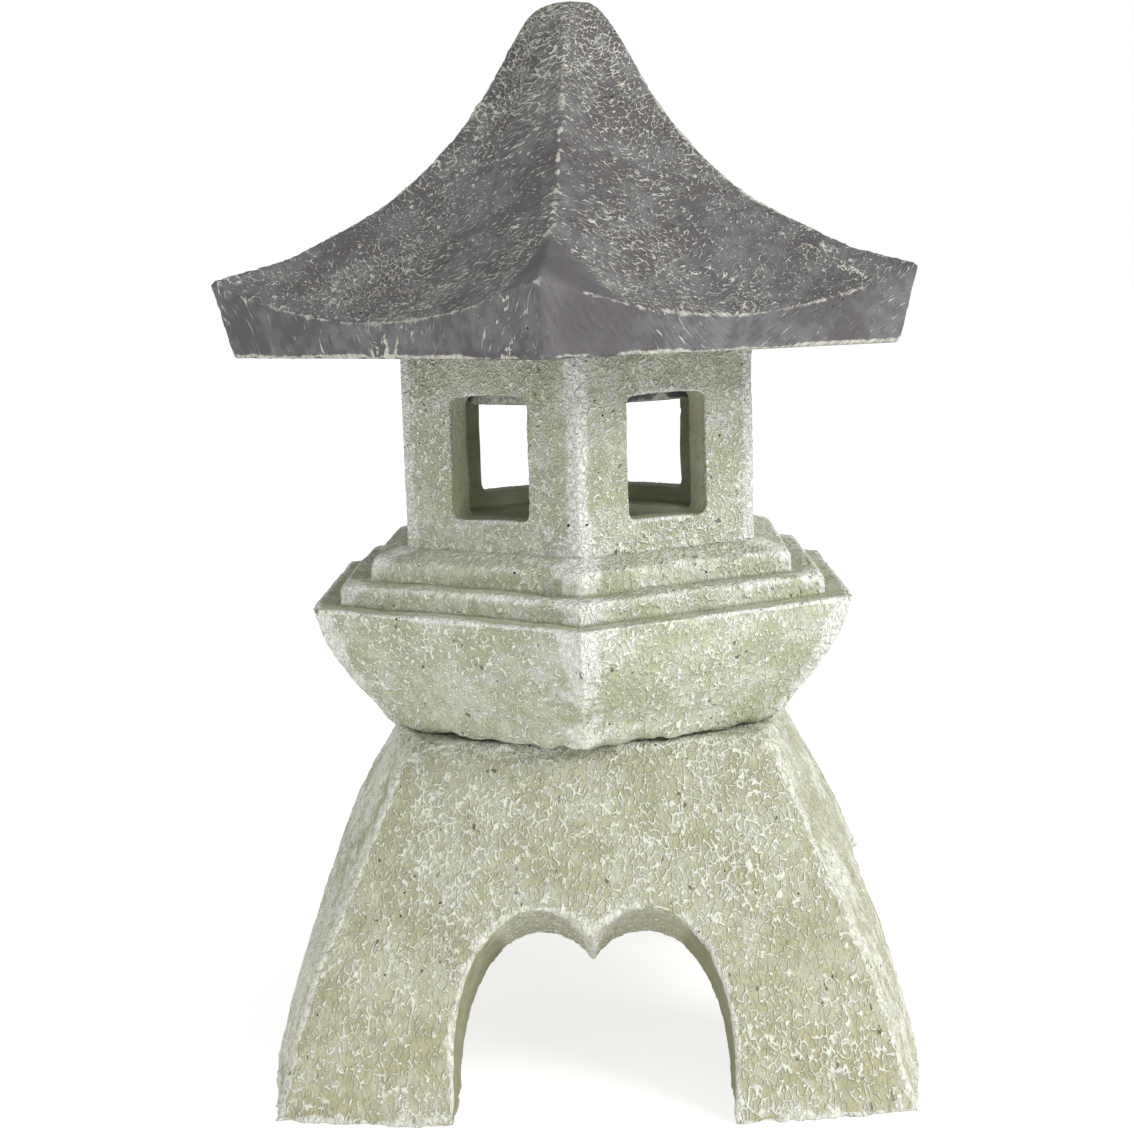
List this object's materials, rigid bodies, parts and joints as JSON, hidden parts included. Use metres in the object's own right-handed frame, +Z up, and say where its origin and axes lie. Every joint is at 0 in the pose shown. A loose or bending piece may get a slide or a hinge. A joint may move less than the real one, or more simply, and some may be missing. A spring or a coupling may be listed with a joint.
{
  "type": "stone lantern",
  "caption": "Free-standing garden lantern in cast stone: a lift-off hipped roof over a windowed light chamber on a bowl-shaped platform and an arched, four-legged base.",
  "frame": {"origin": "on the ground under the middle of the roof, on the axis that the platform, light chamber and roof share", "axes": "+Z up; -Y towards a corner of the platform and light chamber, which is the front; +X to the right seen from the front"},
  "size_m": [0.2818, 0.3134, 0.432],
  "materials": {
    "base_stone": "matte, sage green stain with pale worn edges and an ochre cast near the ground",
    "mortar": "matte, rough and pitted",
    "platform_stone": "matte, sage green stain with pale crackled veins",
    "chamber_stone": "matte, sage green stain with pale worn corners",
    "roof_stone": "matte, dark grey stain with fine pale veins",
    "cup_metal": "satin pressed foil",
    "wax": "satin",
    "tab_metal": "satin",
    "wick_cotton": "matte"
  },
  "bodies": {
    "lantern_body": {"base": "base_stone", "mortar_bed": "mortar", "platform": "platform_stone", "light_chamber": "chamber_stone"},
    "roof": {"roof": "roof_stone"},
    "tealight": {"tealight_cup": "cup_metal", "tealight_wax": "wax", "wick_tab": "tab_metal", "wick": "wick_cotton"}
  },
  "joints": [
    {"name": "roof_lift", "type": "slide", "parent": "lantern_body", "child": "roof", "axis": [0, 0, 1], "range_m": [0, 0.12]},
    {"name": "tealight_lift", "type": "slide", "parent": "lantern_body", "child": "tealight", "axis": [0, 0, 1], "range_m": [0, 0.03]}
  ]
}
